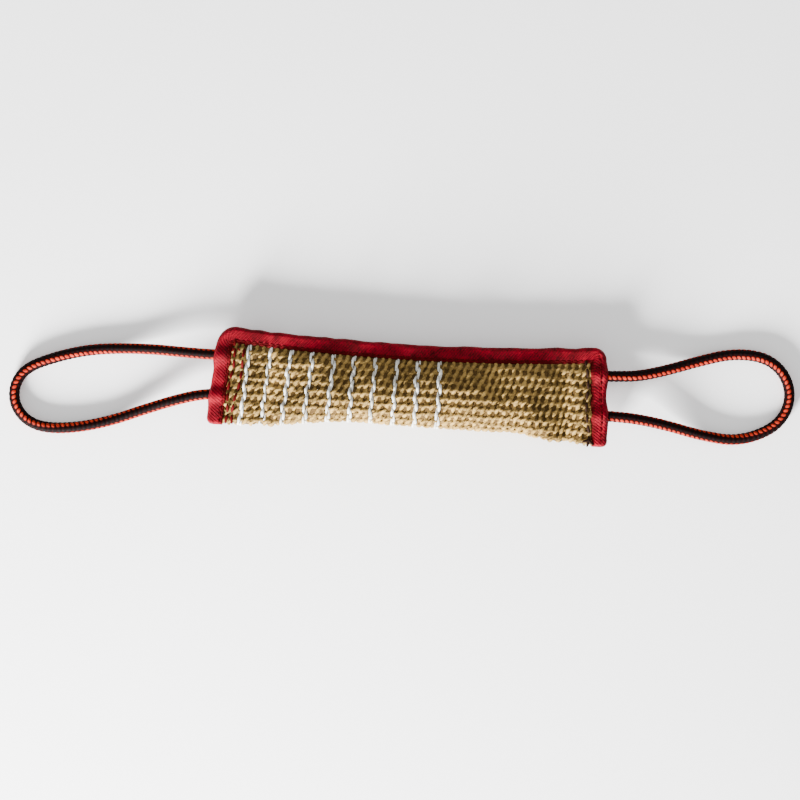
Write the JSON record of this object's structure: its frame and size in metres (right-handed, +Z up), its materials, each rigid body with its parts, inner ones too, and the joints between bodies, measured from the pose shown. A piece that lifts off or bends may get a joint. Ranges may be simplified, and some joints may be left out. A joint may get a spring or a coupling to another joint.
{
  "type": "training bumper",
  "caption": "Stuffed jute training bumper for dogs with a red taped edge, white marker yarns and a braided rope loop handle at each end.",
  "frame": {"origin": "on the surface it lies on, under the middle of the stuffed body", "axes": "+X along the body towards the end without marker yarns, +Y towards the taped long edge, +Z up"},
  "size_m": [0.5867, 0.0937, 0.03],
  "materials": {
    "jute_cloth": "coarse woven jute, matt",
    "fibre_stuffing": "pressed fibre",
    "white_yarn": "soft white yarn",
    "red_tape": "ribbed webbing with a slight sheen",
    "red_thread": "twisted sewing thread",
    "brown_thread": "twisted sewing thread",
    "braided_rope": "tight braid of black and orange-red yarn"
  },
  "bodies": {
    "body": {"jute_cover": "jute_cloth", "stuffing": "fibre_stuffing", "white_marker_yarns": "white_yarn", "edge_tape": "red_tape", "long_edge_stitching": "red_thread", "left_tape_stitching": "red_thread", "right_tape_stitching": "red_thread", "left_closing_stitching": "red_thread", "right_closing_stitching": "brown_thread", "left_handle_tails": "braided_rope", "right_handle_tails": "braided_rope"},
    "left_handle": {"left_handle_cord": "braided_rope"},
    "right_handle": {"right_handle_cord": "braided_rope"}
  },
  "joints": [
    {"name": "left_handle_swing", "type": "hinge", "parent": "body", "child": "left_handle", "pos_m": [-0.15255, -0.00056, 0.014], "axis": [0.0802, 0.9968, 0], "range_deg": [-90, 90]},
    {"name": "right_handle_swing", "type": "hinge", "parent": "body", "child": "right_handle", "pos_m": [0.15276, 0.00089, 0.014], "axis": [0.0715, -0.9974, 0], "range_deg": [-90, 90]}
  ]
}
